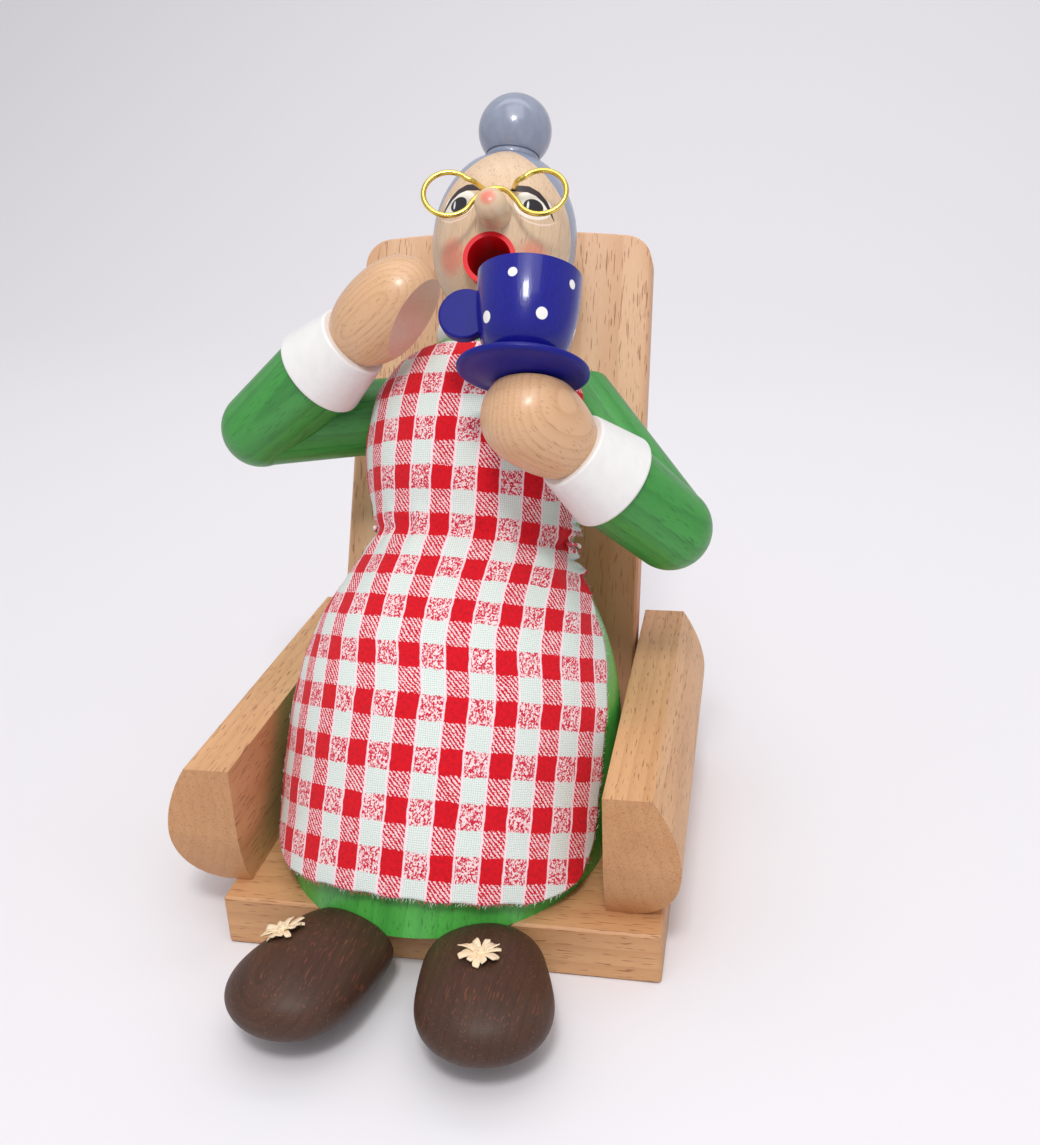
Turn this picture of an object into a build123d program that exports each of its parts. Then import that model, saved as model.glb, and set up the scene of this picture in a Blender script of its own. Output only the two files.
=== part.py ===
from build123d import *
import os
from math import sin, cos, radians, hypot

# Turned-wood incense smoker: a grandmother leaning back in an armchair.
# Frame: +Z up, +X to the viewer's right, -Y towards the viewer, millimetres.
# The origin is the middle of the seat board's underside.

os.makedirs("parts", exist_ok=True)

# ---------------------------------------------------------------- chair sizes
SEAT_W, SEAT_D, SEAT_T = 87.0, 84.0, 11.0
CX = -3.7                     # middle of the arm rests and back board
ARM_IN = 36.1                 # half the gap between the arm rests
ARM_TOP = 38.5
ARM_Y0, ARM_Y1 = -39.5, 45.0
LEAN = 27.0                   # back board and figure, from vertical
BACK_W, BACK_T, BACK_S = 70.6, 9.0, 141.0
BACK_Y = 8.1                  # front plane of the back board at z = 0

# ---------------------------------------------------------------- figure frame
FX, FY, FZ = -3.9, -13.5, SEAT_T
TILT = 2.3                    # slight sideways lean of the figure
T = Pos(FX, FY, FZ) * Rot(-LEAN, 0, 0) * Rot(0, TILT, 0)
WAIST = 62.0                  # parting plane of the figure, along its axis
FACE = 2.0                    # the head is turned a little


def turned(pts, r0=0.0):
    """Solid of revolution about Z through (radius, height) points, smooth side."""
    pts = [Vector(r, 0, s) for r, s in pts]
    side = Spline(*pts)
    a, b = pts[0], pts[-1]
    lo, hi = Vector(r0, 0, a.Z), Vector(r0, 0, b.Z)
    edges = [Line(lo, a), side, Line(b, hi), Line(hi, lo)]
    return revolve(make_face(edges), Axis.Z)


def straight(pts):
    """Solid of revolution with straight facets between its points, closed on the axis."""
    pts = [(r, s) for r, s in pts]
    if pts[0][0] > 0:
        pts = [(0, pts[0][1])] + pts
    if pts[-1][0] > 0:
        pts = pts + [(0, pts[-1][1])]
    v = [Vector(r, 0, s) for r, s in pts]
    wire = Polyline(*v, close=True)
    return revolve(make_face(wire), Axis.Z)


def along(p, q, shape):
    """Move a shape built up +Z from the origin so that it runs from p towards q."""
    p, q = Vector(*p), Vector(*q)
    return Plane(origin=p, z_dir=(q - p)) * shape


def rod(p, q, r):
    p, q = Vector(*p), Vector(*q)
    h = (q - p).length
    return along(p, q, Pos(0, 0, h / 2) * Cylinder(r, h))


def one(shape):
    """The largest solid of a cut."""
    s = shape.solids()
    return max(s, key=lambda k: k.volume)


def mix(p, q, d):
    """Point d millimetres from p towards q."""
    h = hypot(q[0] - p[0], q[1] - p[1], q[2] - p[2])
    return tuple(a + (b - a) * d / h for a, b in zip(p, q))


P = {}

# ================================================================ chair
seat = Pos(0, 0, SEAT_T / 2) * Box(SEAT_W, SEAT_D, SEAT_T)
seat = chamfer(seat.edges(), 0.5)

# arm rest section: flat top and inner side, bulging outer side, flat foot
def armrest(side):
    x = CX + side * ARM_IN
    s = side
    z0, z1 = SEAT_T, ARM_TOP
    pts = [(x, z0), (x + s * 5.5, z0)]
    outer = Spline((x + s * 5.5, 0, z0), (x + s * 11.5, 0, z0 + 3.4), (x + s * 14.4, 0, z0 + 10.5),
                   (x + s * 13.4, 0, z0 + 19.0), (x + s * 9.2, 0, z1))
    edges = [Line((x, 0, z0), (x + s * 5.5, 0, z0)), outer,
             Line((x + s * 9.2, 0, z1), (x, 0, z1)), Line((x, 0, z1), (x, 0, z0))]
    bar = extrude(make_face(edges), amount=(ARM_Y1 - ARM_Y0) / 2, dir=(0, 1, 0), both=True)
    bar = Pos(0, (ARM_Y0 + ARM_Y1) / 2, 0) * bar
    # front end is rounded back towards its foot
    prof = [Line((0, ARM_Y0, z1 + 1), (0, ARM_Y0, z1 - 10)),
            ThreePointArc((0, ARM_Y0, z1 - 10), (0, ARM_Y0 + 0.9, z0 + 7), (0, ARM_Y0 + 4.2, z0 - 1)),
            Line((0, ARM_Y0 + 4.2, z0 - 1), (0, ARM_Y1 + 5, z0 - 1)),
            Line((0, ARM_Y1 + 5, z0 - 1), (0, ARM_Y1 + 5, z1 + 1)),
            Line((0, ARM_Y1 + 5, z1 + 1), (0, ARM_Y0, z1 + 1))]
    keep = extrude(make_face(prof), amount=80, dir=(1, 0, 0), both=True)
    return one(bar & keep)


arm_l, arm_r = armrest(-1), armrest(1)

# back board, standing on the seat and leaning back
B = Pos(CX, BACK_Y, 0) * Rot(-LEAN, 0, 0)
hb = BACK_W / 2
top_mid, top_side = BACK_S, BACK_S - hb * hb / (2 * 280.0)
outline = [Line((-hb, 0, -6), (hb, 0, -6)), Line((hb, 0, -6), (hb, 0, top_side)),
           ThreePointArc((hb, 0, top_side), (0, 0, top_mid), (-hb, 0, top_side)),
           Line((-hb, 0, top_side), (-hb, 0, -6))]
back = extrude(make_face(outline), amount=BACK_T, dir=(0, 1, 0))
corner = [e for e in back.edges() if abs(e.center().Z - top_side) < 0.4 and abs(abs(e.center().X) - hb) < 0.2
          and abs(e.length - BACK_T) < 0.3]
back = fillet(corner, 6.5)
back = chamfer([e for e in back.edges().filter_by(GeomType.LINE) if e.length > 60 and e.center().Z > 20], 0.6)
back = one((B * back) - Pos(0, 0, SEAT_T - 40) * Box(300, 300, 80))

# dowels of the chair
dowels = {}
for nm, s in (("left", -1), ("right", 1)):
    for pl, y in (("front", -26.0), ("rear", 34.0)):
        # the left rest overhangs the seat board, so its dowels are thin and near the inner face
        x, rd = (CX + ARM_IN + 3.4, 2.0) if s > 0 else (-41.65, 1.3)
        dowels[f"armrest_dowel_{nm}_{pl}"] = Pos(x, y, SEAT_T + 1) * Cylinder(rd, 16.0)
ydb = BACK_Y + (SEAT_T) * 0.5095 + BACK_T / 2 / cos(radians(LEAN))
for nm, s in (("left", -1), ("right", 1)):
    dowels[f"back_dowel_{nm}"] = Pos(CX + s * 20.0, ydb + 1.0, SEAT_T + 1) * Cylinder(2.0, 12.0)
    z = 27.0
    y = BACK_Y + z * 0.5095 + BACK_T / 2 / cos(radians(LEAN))
    x0 = CX + s * (ARM_IN + 6.0)
    x1 = CX + s * (hb - 8.0)
    dowels[f"side_dowel_{nm}"] = rod((x0, y, z), (x1, y, z), 2.0)

# ================================================================ lower figure
SK = [(30.4, -22), (32.5, -10), (34.1, 4), (34.8, 18), (34.0, 30), (31.0, 42), (26.5, 51.5), (22.8, 57.5), (20.3, WAIST)]
skirt = turned(SK)
skirt = skirt + Pos(0, 0, WAIST + 2.0) * Cylinder(13.5, 10.0)          # spigot for the torso
skirt = skirt - Pos(0, 0, 54.5) * Cylinder(11.3, 37.0)                 # recess for the cone
skirt = skirt - Pos(0, 34.2, 20) * Box(120, 20, 120)                   # flat against the back board
skirt = T * skirt
skirt = one(skirt - Pos(0, 0, SEAT_T - 40) * Box(300, 300, 80))        # sawn flat where it sits

plate = Pos(0, 0, 36.0 + 0.5) * Cylinder(11.0, 1.0)
plate = plate + Pos(0, 0, 37.0 + 1.0) * (Cylinder(6.2, 2.0) - Cylinder(5.4, 2.0))
pin_hole = Pos(0, 0, 34.0) * Cylinder(0.8, 8.0)
plate = one(plate - pin_hole)
pin = Pos(0, 0, 32.0 + 2.5) * Cylinder(0.8, 5.0 + 0.001) + Pos(0, 0, 37.35) * Cylinder(1.8, 0.7)
plate, pin = T * plate, T * one(pin)
skirt = skirt - pin

seat_dowel = Pos(FX, -6.0, 13.0) * Cylinder(4.0, 20.0)
skirt = one(skirt - seat_dowel)

# clog shoes, pegged to the front edge of the seat board
SHOE = {}
for nm, s in (("left", -1), ("right", 1)):
    cx = FX + 1.1 + s * 16.6
    egg = turned([(0.02, -16.2), (5.2, -15.2), (9.6, -11.8), (12.0, -6.0), (12.2, 1.0), (11.6, 8.0), (10.6, 13.0), (8.6, 16.4), (0.02, 18.2)])
    egg = Rot(-90, 0, 0) * egg                     # long axis on Y, toe to -Y
    egg = scale(egg, by=(1.0, 1.0, 0.58))
    egg = Pos(cx, -60.2 - s * 0.4, 9.6) * Rot(-8.0, 0, 0) * Rot(0, 0, s * 13.0) * egg
    egg = egg - Pos(0, 0, -20 + 3.6) * Box(400, 400, 40)
    egg = egg - Pos(0, 0, 0) * Box(120, 2 * 42.2, 60)      # clear of the seat board's front edge
    egg = egg - T * turned([(r + 0.25, z) for r, z in SK])
    SHOE[nm] = one(egg)
    peg = rod((FX + 1.1 + s * 14.0, -52.0, 6.6), (FX + 1.1 + s * 14.0, -34.0, 6.6), 1.9)
    dowels[f"foot_dowel_{nm}"] = peg

# curled-shaving flower on each shoe
POM = {}
for nm, s in (("left", -1), ("right", 1)):
    pts = []
    for i in range(26):
        rr, aa = (4.5, 1.7)[i % 2], radians(360 / 26 * i)
        pts.append(Vector(rr * cos(aa), rr * sin(aa), 0))
    star = extrude(make_face(Polyline(*pts, close=True)), amount=1.6)
    at, up = ((-24.9, -55.4, 15.12), (-0.317, 0.238, 0.918)) if s < 0 else ((13.0, -58.1, 16.43), (-0.036, 0.157, 0.987))
    POM[nm] = one(Plane(origin=at, x_dir=(1, 0, 0), z_dir=up) * star)

# ================================================================ upper figure
TO = [(20.3, WAIST), (21.5, 66.5), (23.8, 74), (24.6, 83), (23.3, 91.5), (20.0, 98), (15.5, 102.6), (12.6, 104.6)]
torso = turned(TO)
torso = torso - Pos(0, 0, 78.0) * Cylinder(13.9, 32.2)                 # smoke chamber over the cone
torso = torso - Pos(0, 0, 94.0) * Cone(13.9, 3.4, 8.0)
torso = torso - Pos(0, 0, 100.0) * Cylinder(3.4, 20.0)

# the back of the torso is planed a little, so that it clears the back board
torso = torso - Pos(0, 23.8 + 20, 80) * Box(200, 40, 200)

COL = [(11.9, 104.6), (12.9, 106.6), (12.6, 109.4), (10.4, 111.6)]
collar = turned(COL) - Pos(0, 0, 108.0) * Cylinder(3.4, 16.0)

HS = 130.2
head = turned([(7.4, 111.6), (12.0, 116.0), (14.9, 121.6), (15.9, 128.4), (15.4, 134.4), (12.9, 141.0), (8.7, 146.0), (4.4, 148.0), (0.02, 148.5)])
head = head - Pos(0, 0, 116.4) * Cylinder(3.2, 11.6)
Fc = Rot(0, 0, FACE)
mouth_s = 120.4
bore = Fc * (Pos(0, -9.5, mouth_s) * Rot(90, 0, 0) * Cylinder(5.2, 19.0))
head = one(head - bore)
ring = Pos(0, -11.4, mouth_s) * Rot(90, 0, 0) * (Cylinder(5.2, 7.0) - Cylinder(4.6, 7.0))
ring = ring + Pos(0, -14.9, mouth_s) * Rot(90, 0, 0) * (Cylinder(5.6, 1.4) - Cylinder(4.6, 1.4))
mouth = one(Fc * ring)
# a shallow seat lets the rim of the ring lie in the face
head = one(head - Fc * (Pos(0, -17.2, mouth_s) * Rot(90, 0, 0) * Cylinder(5.6, 6.0)))

# the nose sits on a thinner peg in the head
nose = Pos(0.5, -18.1, 129.6) * Rot(90, 0, 0) * Cylinder(3.4, 5.8) + Pos(0.5, -21.0, 129.6) * Sphere(3.4)
nose = nose + Pos(0.5, -13.85, 129.6) * Rot(90, 0, 0) * Cylinder(2.0, 3.7)
nose = Fc * nose
head = one(head - nose)

bun_ring = turned([(5.0, 147.0), (5.9, 147.9), (5.6, 149.0)]) - head
bun = Pos(0, 0, 154.6) * Sphere(8.2)
bun = bun - Pos(0, 0, 144.0) * Box(30, 30, 10.0)
bun_peg = Pos(0, 0, 146.8) * Cylinder(1.9, 14.0)
bun_ring = one(bun_ring - bun_peg)
bun = one(bun - bun_peg)
head = one(head - bun_peg)

# wire spectacles: two loops and a bridge over the nose
W = 0.5
gl = None
for sx in (-1, 1):
    loop = Pos(sx * 9.4, -21.6, 131.0) * Rot(90, 0, sx * 6) * Torus(5.0, W)
    gl = loop if gl is None else gl + loop
br = rod((-5.2, -21.6, 132.6), (0, -21.9, 132.1), W) + rod((0, -21.9, 132.1), (5.2, -21.6, 132.6), W) + Pos(0, -21.9, 132.1) * Sphere(W)
gl = gl + br
gl = one(Rot(0, 0, 5) * Pos(0, 0, 132.0) * Rot(0, -4, 0) * Pos(0, 0, -131.0) * gl)
head = one(head - gl)
nose = one(nose - gl)
gl_nose = nose

# arms: shoulder, elbow and hand centres
AR = {"left": dict(S=(-18.5, 1.0, 90.0), E=(-48.5, -9.5, 83.0), H=(-16.2, -28.4, 104.8)),
      "right": dict(S=(19.0, 0.5, 94.5), E=(42.4, -14.0, 66.6), H=(17.6, -40.0, 82.0))}
ARM = {}
for nm, a in AR.items():
    S, E, H = a["S"], a["E"], a["H"]
    Lf = hypot(*[h - e for h, e in zip(H, E)])
    # forearm: turned sleeve with a rounded elbow
    cuff0 = Lf - 22.0          # wide end of the cuff, from the elbow
    cuff1 = Lf - 10.5
    fore = along(E, H, Pos(0, 0, (cuff0) / 2) * Cone(8.5, 9.1, cuff0)) + Pos(*E) * Sphere(8.5)
    cuff = along(E, H, Pos(0, 0, (cuff0 + cuff1) / 2) * Cone(10.3, 7.9, cuff1 - cuff0))
    cuff = fillet(cuff.edges().filter_by(GeomType.CIRCLE), 0.6)
    upper = rod(E, S, 8.3)
    upper = upper - (along(E, H, Pos(0, 0, (cuff0) / 2) * Cone(8.5, 9.1, cuff0)) + Pos(*E) * Sphere(8.5))
    upper = upper - turned(TO)
    upper = upper - Pos(0, 34.3, 80) * Box(200, 20, 120)
    ARM[nm] = dict(fore=fore, cuff=cuff, upper=one(upper), Lf=Lf, cuff1=cuff1)

# hands
hl = AR["left"]
d = [h - e for h, e in zip(hl["H"], hl["E"])]
Lf = ARM["left"]["Lf"]
hand_l = along(hl["E"], hl["H"], Pos(0, 0, Lf) * turned([(6.4, -10.5), (7.6, -8.0), (8.7, -2.0), (8.5, 3.8), (6.6, 8.9), (3.4, 11.8), (0.02, 12.6)]))
palm_n = Vector(0.836, -0.052, -0.546)
pc = Vector(*hl["H"]) + palm_n.normalized() * 6.25
palm_cut = Plane(origin=pc, z_dir=palm_n) * (Pos(0, 0, 15) * Box(60, 60, 30))
keep_w = along(hl["E"], hl["H"], Pos(0, 0, Lf - 13.0) * Cylinder(12, 7.0))
hand_l = one(hand_l - palm_cut)
ARM["left"]["hand"] = hand_l

hr = AR["right"]
Lf = ARM["right"]["Lf"]
hand_r = along(hr["E"], hr["H"], Pos(0, 0, Lf) * turned([(6.6, -10.5), (7.7, -8.0), (8.9, -2.5), (9.0, 2.0), (7.2, 6.4), (3.8, 8.8), (0.02, 9.4)]))

# cup and saucer, tipped back towards the mouth
CT = Pos(15.4, -41.6, 90.2) * Rot(-8, 0, 0) * Rot(0, -2.5, 0)
saucer = CT * one(turned([(3.0, -2.2), (6.0, -1.6), (10.4, -0.6), (12.3, 0.0), (12.25, 0.6), (11.6, 0.8)]) + Pos(0, 0, 1.3) * Cylinder(6.4, 1.4))
saucer_top = 2.0
cup = turned([(5.8, 2.0), (7.3, 3.5), (8.8, 7.4), (9.6, 12.5), (9.8, 18.8)])
cup_in = turned([(4.6, 5.2), (6.2, 5.9), (7.8, 8.8), (8.6, 13.0), (8.85, 19.2)])
cup = CT * one(cup - cup_in)
handle = CT * (Pos(-11.8, 0, 11.2) * Rot(90, 0, 0) * Cylinder(5.0, 2.6))
handle = fillet(handle.edges().filter_by(GeomType.CIRCLE), 0.5)
handle = one(handle - CT * turned([(5.8, 2.0), (7.3, 3.5), (8.8, 7.4), (9.6, 12.5), (9.8, 18.8)]))
cup_peg = CT * (Pos(0, 0, 0.1) * Cylinder(1.4, 9.8))
saucer = one(saucer - cup_peg)
cup = one(cup - cup_peg)
hand_r = hand_r - CT * (Pos(0, 0, 10 - 2.2) * Cylinder(14, 20.0))
hand_r = one(hand_r - cup_peg)
ARM["right"]["hand"] = hand_r

# dowels of the arms
for nm, a in AR.items():
    S, E, H = a["S"], a["E"], a["H"]
    Lf = ARM[nm]["Lf"]
    sh = rod(mix(S, E, -1.0), mix(S, E, 12.0), 1.8) if nm == "left" else rod(mix(S, E, 1.0), mix(S, E, 14.0), 1.8)
    el = rod(mix(E, S, -3.0), mix(E, S, 14.0), 1.8)
    wr = rod(mix(E, H, Lf - 27.0), mix(E, H, Lf - 5.0), 1.8)
    A = ARM[nm]
    torso = torso - sh
    A["upper"] = one(A["upper"] - sh - el)
    A["fore"] = one(A["fore"] - el - wr)
    A["cuff"] = one(A["cuff"] - wr)
    A["hand"] = one(A["hand"] - wr)
    A["sh"], A["el"], A["wr"] = sh, el, wr
torso = one(torso)

# ================================================================ apron
AP = [(35.3, -9.4), (35.4, -3), (35.4, 10), (35.2, 20), (34.4, 30), (31.5, 42), (27.0, 51.5), (23.4, 57.5), (21.2, WAIST + 0.2),
      (22.0, 66.5), (24.3, 74), (25.1, 83), (23.8, 91.5), (20.5, 98), (16.1, 102.6)]
HALF, CLOTH = 78.0, 0.6
inn = [Vector(r, 0, s) for r, s in AP]
out = [Vector(r + CLOTH, 0, s) for r, s in AP]
section = make_face([Spline(*inn), Line(inn[-1], out[-1]), Spline(*out), Line(inn[0], out[0])])
apron = Rot(0, 0, -90 - HALF) * revolve(section, Axis.Z, 2 * HALF)


def front_cut(pts):
    """Prism seen from the front, through the front half only."""
    return extrude(make_face(Polyline(*[Vector(x, -70, s) for x, s in pts], close=True)), amount=68, dir=(0, 1, 0))


# rounded lower corners and the narrower bib
for m in (-1, 1):
    apron = apron - front_cut([(m * x, s) for x, s in ((6, -12), (13, -8.8), (22.6, -8.0), (27.6, -6.4), (30.2, -3.2), (32.3, 3.6), (33.3, 13), (33.9, 24), (60, 26), (60, -12))])
    apron = apron - front_cut([(m * x, s) for x, s in ((13.5, 110), (18.5, 96), (42, 82), (60, 110))])
for nm in ("left", "right"):
    a = AR[nm]
    apron = apron - rod(mix(a["S"], a["E"], -12.0), a["E"], 8.6)
apron = one(apron)
tie = Pos(0, 0, WAIST + 1.0) * (Cylinder(23.0, 1.0) - Cylinder(22.3, 1.0))

# ================================================================ collect
P["skirt"] = skirt
P["cone_plate"] = plate
P["cone_plate_nail"] = pin
P["seat_dowel"] = seat_dowel
for nm in ("left", "right"):
    P[f"shoe_{nm}"] = one(SHOE[nm] - dowels[f"foot_dowel_{nm}"])
    P[f"shoe_flower_{nm}"] = POM[nm]
seat = seat - seat_dowel
for k, dw in dowels.items():
    if not k.startswith("side"):
        seat = seat - dw
    if k.startswith("armrest_dowel_left"):
        arm_l = arm_l - dw
    if k.startswith("armrest_dowel_right"):
        arm_r = arm_r - dw
    if k == "side_dowel_left":
        arm_l = arm_l - dw
        back = back - dw
    if k == "side_dowel_right":
        arm_r = arm_r - dw
        back = back - dw
    if k.startswith("back_dowel"):
        back = back - dw
    P[k] = dw
P["seat_board"] = one(seat)
P["armrest_left"], P["armrest_right"] = one(arm_l), one(arm_r)
P["backrest_board"] = one(back)

U = {"torso": torso, "collar": collar, "head": head, "mouth_ring": mouth, "nose": nose, "glasses": gl,
     "bun_ring": bun_ring, "hair_bun": bun, "bun_dowel": bun_peg, "saucer": saucer, "cup": cup,
     "cup_handle": handle, "cup_peg": cup_peg, "apron": apron, "apron_tie": one(tie)}
for nm in ("left", "right"):
    A = ARM[nm]
    U[f"upper_arm_{nm}"] = A["upper"]
    U[f"forearm_{nm}"] = A["fore"]
    U[f"cuff_{nm}"] = A["cuff"]
    U[f"hand_{nm}"] = A["hand"]
    U[f"shoulder_dowel_{nm}"] = A["sh"]
    U[f"elbow_dowel_{nm}"] = A["el"]
    U[f"wrist_dowel_{nm}"] = A["wr"]
for k, v in U.items():
    P[k] = T * v

for k, v in P.items():
    s = v.solids()
    assert len(s) == 1, (k, len(s))
    s = s[0]
    assert s.is_valid, k
    export_step(s, f"parts/{k}.step")
    b = s.bounding_box()
    print(f"{k:26s} vol {s.volume:9.1f}  x {b.min.X:7.2f} {b.max.X:7.2f}  y {b.min.Y:7.2f} {b.max.Y:7.2f}  z {b.min.Z:7.2f} {b.max.Z:7.2f}")
print(len(P), "nodes")
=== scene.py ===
import bpy, bmesh, math, random
import numpy as np
from mathutils import Matrix, Vector, Euler


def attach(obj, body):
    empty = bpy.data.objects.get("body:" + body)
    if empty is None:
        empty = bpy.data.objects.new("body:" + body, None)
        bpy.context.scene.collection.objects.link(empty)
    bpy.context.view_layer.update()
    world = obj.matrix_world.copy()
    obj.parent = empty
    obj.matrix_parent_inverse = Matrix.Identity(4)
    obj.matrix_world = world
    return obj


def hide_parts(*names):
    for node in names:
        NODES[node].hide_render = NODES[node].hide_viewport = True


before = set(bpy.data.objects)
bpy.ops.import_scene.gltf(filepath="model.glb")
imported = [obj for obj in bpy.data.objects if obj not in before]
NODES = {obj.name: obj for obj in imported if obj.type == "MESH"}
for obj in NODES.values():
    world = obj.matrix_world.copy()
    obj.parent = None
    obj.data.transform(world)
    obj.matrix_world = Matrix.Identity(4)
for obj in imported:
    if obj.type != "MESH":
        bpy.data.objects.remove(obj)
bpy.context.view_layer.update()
random.seed(7)
rng = np.random.default_rng(11)
MM = 0.001
LOWER, UPPER = "chair_and_lower_figure", "upper_figure"


def R_(axis, deg):
    return Matrix.Rotation(math.radians(deg), 4, axis)


def T_(x, y, z):
    return Matrix.Translation((x * MM, y * MM, z * MM))


FIG = T_(-3.9, -13.5, 11.0) @ R_("X", -27) @ R_("Y", 2.3)
FACE = FIG @ R_("Z", 2)
SPECS = FIG @ R_("Z", 5) @ T_(0, 0, 132.0) @ R_("Y", -4) @ T_(0, 0, -131.0)
CUP = FIG @ T_(15.4, -41.6, 90.2) @ R_("X", -8) @ R_("Y", -2.5)
BACK = T_(-3.7, 8.1, 0) @ R_("X", -27)
ARMS = {"left": dict(S=(-18.5, 1.0, 90.0), E=(-48.5, -9.5, 83.0), H=(-16.2, -28.4, 104.8)),
        "right": dict(S=(19.0, 0.5, 94.5), E=(42.4, -14.0, 66.6), H=(17.6, -40.0, 82.0))}


def frame_along(p, q):
    """Matrix whose Z runs from p to q, in figure millimetres."""
    p, q = Vector(p), Vector(q)
    z = (q - p).normalized()
    rot = z.to_track_quat("Z", "Y").to_matrix().to_4x4()
    return FIG @ T_(*p) @ rot


def srgb(r, g, b, a=1.0):
    f = lambda c: (c / 255 / 12.92) if c / 255 <= 0.04045 else ((c / 255 + 0.055) / 1.055) ** 2.4
    return (f(r), f(g), f(b), a)


# ------------------------------------------------------------------ node helpers
class G:
    """Small helper for building a material's node tree."""

    def __init__(self, name):
        self.mat = bpy.data.materials.new(name)
        self.mat.use_nodes = True
        self.nt = self.mat.node_tree
        self.nt.nodes.clear()
        self.out = self.nt.nodes.new("ShaderNodeOutputMaterial")
        self.b = self.nt.nodes.new("ShaderNodeBsdfPrincipled")
        self.nt.links.new(self.b.outputs[0], self.out.inputs[0])

    def put(self, sock, v):
        if isinstance(v, bpy.types.NodeSocket):
            self.nt.links.new(v, sock)
        else:
            if sock.type == "RGBA" and not hasattr(v, "__len__"):
                v = (v, v, v, 1)
            if sock.type == "VECTOR" and not hasattr(v, "__len__"):
                v = (v, v, v)
            sock.default_value = v

    def n(self, kind, ins=None, out=0, **props):
        nd = self.nt.nodes.new(kind)
        for k, v in props.items():
            setattr(nd, k, v)
        for k, v in (ins or {}).items():
            self.put(nd.inputs[k], v)
        return nd.outputs[out]

    def m(self, op, a, b=None, c=None, clamp=False):
        ins = {0: a}
        if b is not None:
            ins[1] = b
        if c is not None:
            ins[2] = c
        return self.n("ShaderNodeMath", ins, operation=op, use_clamp=clamp)

    def v(self, op, a, b=None, out=0):
        ins = {0: a}
        if b is not None:
            ins[1] = b
        return self.n("ShaderNodeVectorMath", ins, out=out, operation=op)

    def mix(self, f, a, b, blend="MIX"):
        nd = self.nt.nodes.new("ShaderNodeMix")
        nd.data_type = "RGBA"
        nd.blend_type = blend
        self.put(nd.inputs["Factor"], f)
        self.put(nd.inputs[6], a)
        self.put(nd.inputs[7], b)
        return nd.outputs[2]

    def mm(self, M):
        """Object coordinates taken into the frame M, in millimetres."""
        co = self.n("ShaderNodeTexCoord", out="Object")
        loc, rot = M.to_translation(), M.to_euler("XYZ")
        p = self.n("ShaderNodeMapping", {"Vector": co, "Location": loc, "Rotation": rot}, vector_type="TEXTURE")
        return self.v("MULTIPLY", p, (1000.0, 1000.0, 1000.0))

    def xyz(self, p):
        nd = self.nt.nodes.new("ShaderNodeSeparateXYZ")
        self.put(nd.inputs[0], p)
        return nd.outputs

    def noise(self, p, scale=1.0, detail=2.0, rough=0.5, dist=0.0, out=0):
        return self.n("ShaderNodeTexNoise", {"Vector": p, "Scale": scale, "Detail": detail, "Roughness": rough, "Distortion": dist}, out=out)

    def ramp(self, f, lo, hi):
        return self.n("ShaderNodeMapRange", {"Value": f, "From Min": lo, "From Max": hi}, interpolation_type="SMOOTHSTEP")

    def bump(self, h, strength=0.2, dist=0.0002, normal=None):
        ins = {"Height": h, "Strength": strength, "Distance": dist}
        if normal is not None:
            ins["Normal"] = normal
        return self.n("ShaderNodeBump", ins)

    def finish(self, color, rough, normal=None, **consts):
        self.put(self.b.inputs["Base Color"], color)
        self.put(self.b.inputs["Roughness"], rough)
        if normal is not None:
            self.put(self.b.inputs["Normal"], normal)
        for k, v in consts.items():
            self.b.inputs[k.replace("_", " ")].default_value = v
        return self.mat


def grain(g, M, seed=0.0, pith=(46.0, 18.0), period=2.3, axis="Z"):
    """Growth rings, pore flecks and fine fibre of beech whose grain runs along the given axis of M."""
    p = g.mm(M)
    if axis == "X":
        p = g.n("ShaderNodeMapping", {"Vector": p, "Rotation": (0, math.radians(90), 0)})
    if axis == "Y":
        p = g.n("ShaderNodeMapping", {"Vector": p, "Rotation": (math.radians(90), 0, 0)})
    q = g.v("ADD", p, (seed * 13.7, seed * 7.3, seed * 91.0))
    warp = g.noise(g.v("MULTIPLY", q, (0.05, 0.05, 0.012)), 1.0, 2.0, out=1)
    pw = g.v("ADD", p, g.v("MULTIPLY", g.v("SUBTRACT", warp, (0.5, 0.5, 0.5)), (5.0, 5.0, 0.0)))
    x, y, z = g.xyz(pw)
    r = g.m("SQRT", g.m("ADD", g.m("POWER", g.m("ADD", x, pith[0]), 2), g.m("POWER", g.m("ADD", y, pith[1]), 2)))
    ph = g.m("FRACT", g.m("DIVIDE", r, period))
    ring = g.m("MULTIPLY", g.m("POWER", ph, 3.0), g.ramp(ph, 1.0, 0.9))
    vary = g.noise(g.v("MULTIPLY", q, (0.16, 0.16, 0.02)), 1.0, 3.0)
    fleck = g.ramp(g.noise(g.v("MULTIPLY", q, (3.2, 3.2, 0.24)), 1.0, 1.0, 0.4), 0.635, 0.69)
    fine = g.noise(g.v("MULTIPLY", q, (5.5, 5.5, 0.35)), 1.0, 2.0, 0.6)
    return dict(p=p, ring=ring, vary=vary, fleck=fleck, fine=fine)


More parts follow.
